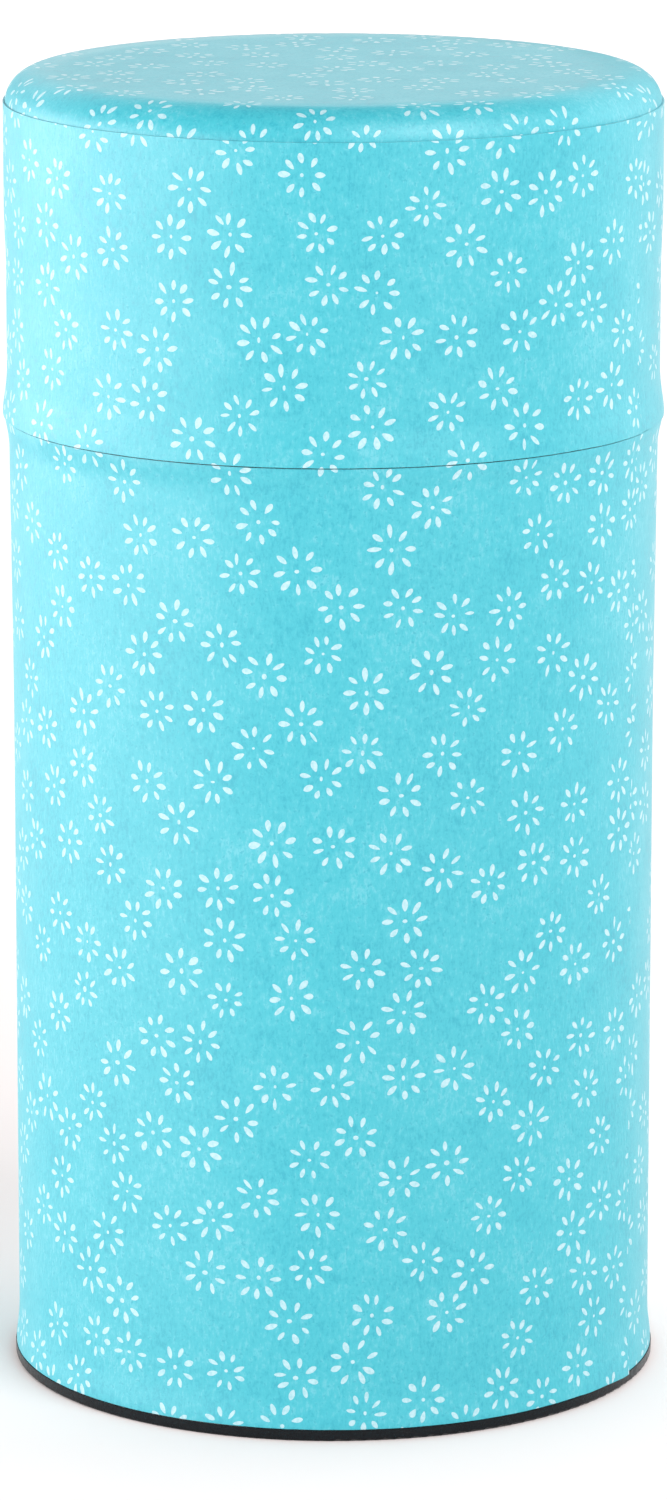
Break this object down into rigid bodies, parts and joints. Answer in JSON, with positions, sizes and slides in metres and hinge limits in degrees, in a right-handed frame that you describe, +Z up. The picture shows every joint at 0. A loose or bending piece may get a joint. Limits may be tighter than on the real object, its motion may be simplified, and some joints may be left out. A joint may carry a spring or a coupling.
{
  "type": "tea caddy",
  "caption": "Tall round tea canister of tinplate wrapped in printed washi paper, with a slip-over outer lid and a knobbed inner lid that plugs the neck.",
  "frame": {"origin": "centre of the round base, on the surface that the canister stands on", "axes": "+Z up along the canister's axis; -Y towards the front, +X to the right"},
  "size_m": [0.082, 0.082, 0.1636],
  "materials": {
    "washi_paper": "matte printed paper",
    "tinplate": "bright rolled tinplate",
    "black_lacquer": "satin black lacquer",
    "knob_metal": "satin turned",
    "rivet_metal": "satin"
  },
  "bodies": {
    "canister": {"body_tube": "tinplate", "bottom_end": "black_lacquer", "neck_sleeve": "tinplate", "body_paper": "washi_paper"},
    "outer_lid": {"lid_band": "tinplate", "lid_top_plate": "tinplate", "lid_side_paper": "washi_paper", "lid_top_paper": "washi_paper"},
    "inner_lid": {"inner_lid_pan": "tinplate", "inner_lid_knob": "knob_metal", "knob_washer": "tinplate", "knob_rivet": "rivet_metal"}
  },
  "joints": [
    {"name": "lid_lift", "type": "slide", "parent": "canister", "child": "outer_lid", "axis": [0, 0, 1], "range_m": [0, 0.1]},
    {"name": "inner_lid_lift", "type": "slide", "parent": "canister", "child": "inner_lid", "axis": [0, 0, 1], "range_m": [0, 0.045]}
  ],
  "couplings": [
    {"joint": "inner_lid_lift", "follows": "lid_lift", "ratio": 0.45}
  ]
}
